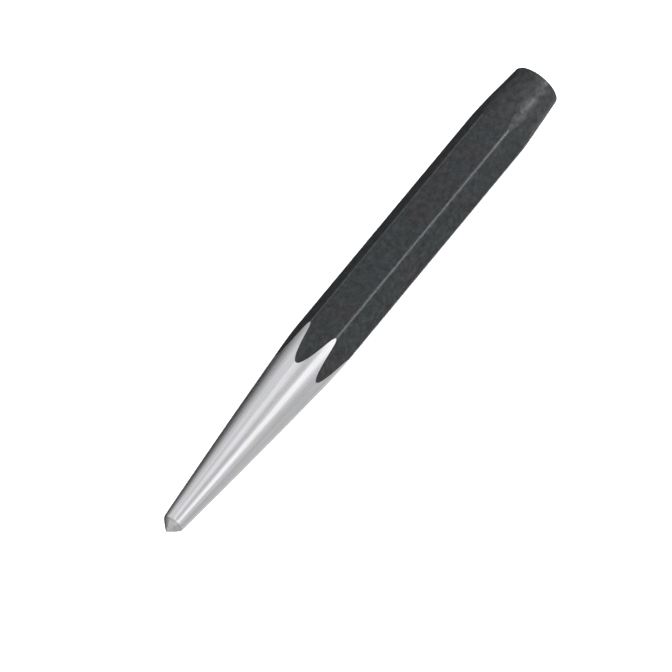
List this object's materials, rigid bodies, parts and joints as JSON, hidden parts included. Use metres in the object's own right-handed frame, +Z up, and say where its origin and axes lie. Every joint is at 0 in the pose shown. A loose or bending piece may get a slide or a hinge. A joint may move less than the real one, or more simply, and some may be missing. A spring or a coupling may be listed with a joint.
{
  "type": "center punch",
  "caption": "Solid steel center punch with a black hexagonal shank, a turned crowned head and a long ground taper to a conical point, hammered to mark hole centers.",
  "frame": {"origin": "middle of the bottom of the bounding box: halfway between apex and struck face, on the plane of the flat that the punch lies on", "axes": "+X along the bar from the point to the struck head, +Z up out of the top flat, +Y towards a corner of the hexagon"},
  "size_m": [0.11, 0.0112, 0.01],
  "materials": {
    "ground_point": "fine ground",
    "ground_steel": "ground lengthwise, bright",
    "black_finish": "black oxide, satin, lightly mottled",
    "black_head": "black oxide over a turned surface"
  },
  "bodies": {
    "root": {"punch_point": "ground_point", "ground_taper": "ground_steel", "hex_shank": "black_finish", "struck_head": "black_head"}
  },
  "joints": []
}
